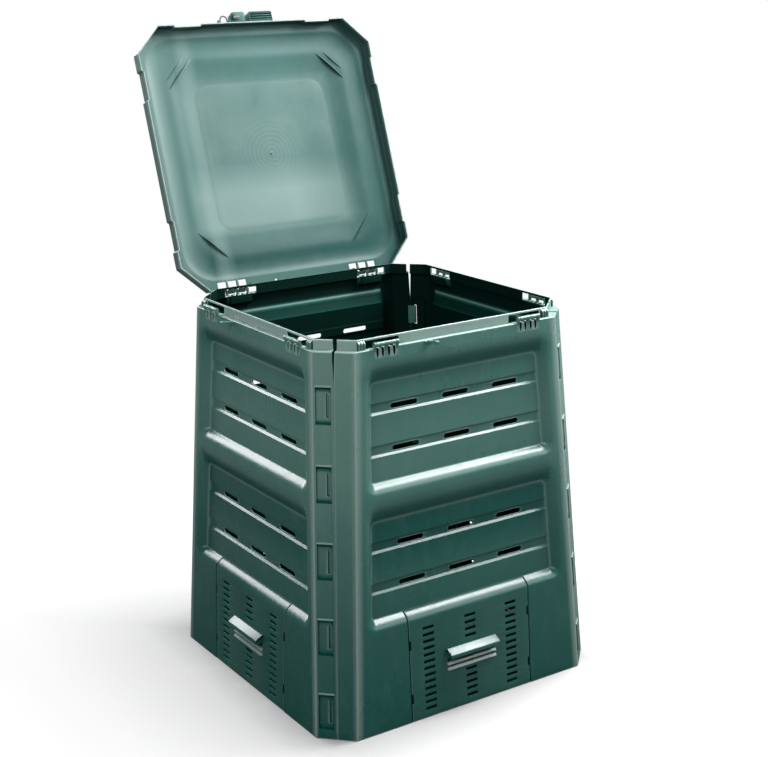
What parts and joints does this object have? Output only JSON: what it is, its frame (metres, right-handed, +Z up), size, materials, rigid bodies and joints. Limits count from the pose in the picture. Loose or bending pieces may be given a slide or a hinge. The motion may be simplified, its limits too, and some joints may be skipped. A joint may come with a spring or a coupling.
{
  "type": "compost bin",
  "caption": "Square garden compost bin of vented walls that snap together at chamfered corners, with a sliding hatch in each wall and a hinged lid with a latch, lid open.",
  "frame": {"origin": "on the ground at the middle of the bin's square base", "axes": "+Z up, the front wall faces -Y, the lid hinges on the back wall at +Y"},
  "size_m": [0.8274, 1.0253, 1.6087],
  "materials": {
    "wall_plastic": "satin moulded",
    "door_plastic": "satin moulded",
    "lid_plastic": "satin moulded, slightly translucent",
    "latch_plastic": "satin moulded",
    "bail_wire": "dark coated wire"
  },
  "bodies": {
    "bin": {"wall_front": "wall_plastic", "wall_left": "wall_plastic", "wall_right": "wall_plastic", "wall_back": "wall_plastic"},
    "lid": {"lid": "lid_plastic", "lid_grip": "latch_plastic"},
    "door_front": {"door_front": "door_plastic"},
    "door_left": {"door_left": "door_plastic"},
    "door_right": {"door_right": "door_plastic"},
    "door_back": {"door_back": "door_plastic"},
    "knob": {"latch_knob": "latch_plastic", "latch_cam": "latch_plastic"},
    "bail": {"latch_bail": "bail_wire"}
  },
  "joints": [
    {"name": "lid_hinge", "type": "hinge", "parent": "bin", "child": "lid", "pos_m": [0, 0.352, 0.918], "axis": [1, 0, 0], "range_deg": [0, 109]},
    {"name": "door_front_slide", "type": "slide", "parent": "bin", "child": "door_front", "axis": [0, 0.0539, 0.9985], "range_m": [0, 0.18]},
    {"name": "door_left_slide", "type": "slide", "parent": "bin", "child": "door_left", "axis": [0.0539, 0, 0.9985], "range_m": [0, 0.18]},
    {"name": "door_right_slide", "type": "slide", "parent": "bin", "child": "door_right", "axis": [-0.0539, 0, 0.9985], "range_m": [0, 0.18]},
    {"name": "door_back_slide", "type": "slide", "parent": "bin", "child": "door_back", "axis": [0, -0.0539, 0.9985], "range_m": [0, 0.18]},
    {"name": "latch_knob", "type": "hinge", "parent": "lid", "child": "knob", "pos_m": [-0.048, 0.58478, 1.59405], "axis": [0, 0.9455, -0.3256], "range_deg": [0, 90]},
    {"name": "latch_bail", "type": "hinge", "parent": "lid", "child": "bail", "pos_m": [-0.084, 0.58042, 1.58444], "axis": [1, 0, 0], "range_deg": [-90, 10]}
  ]
}
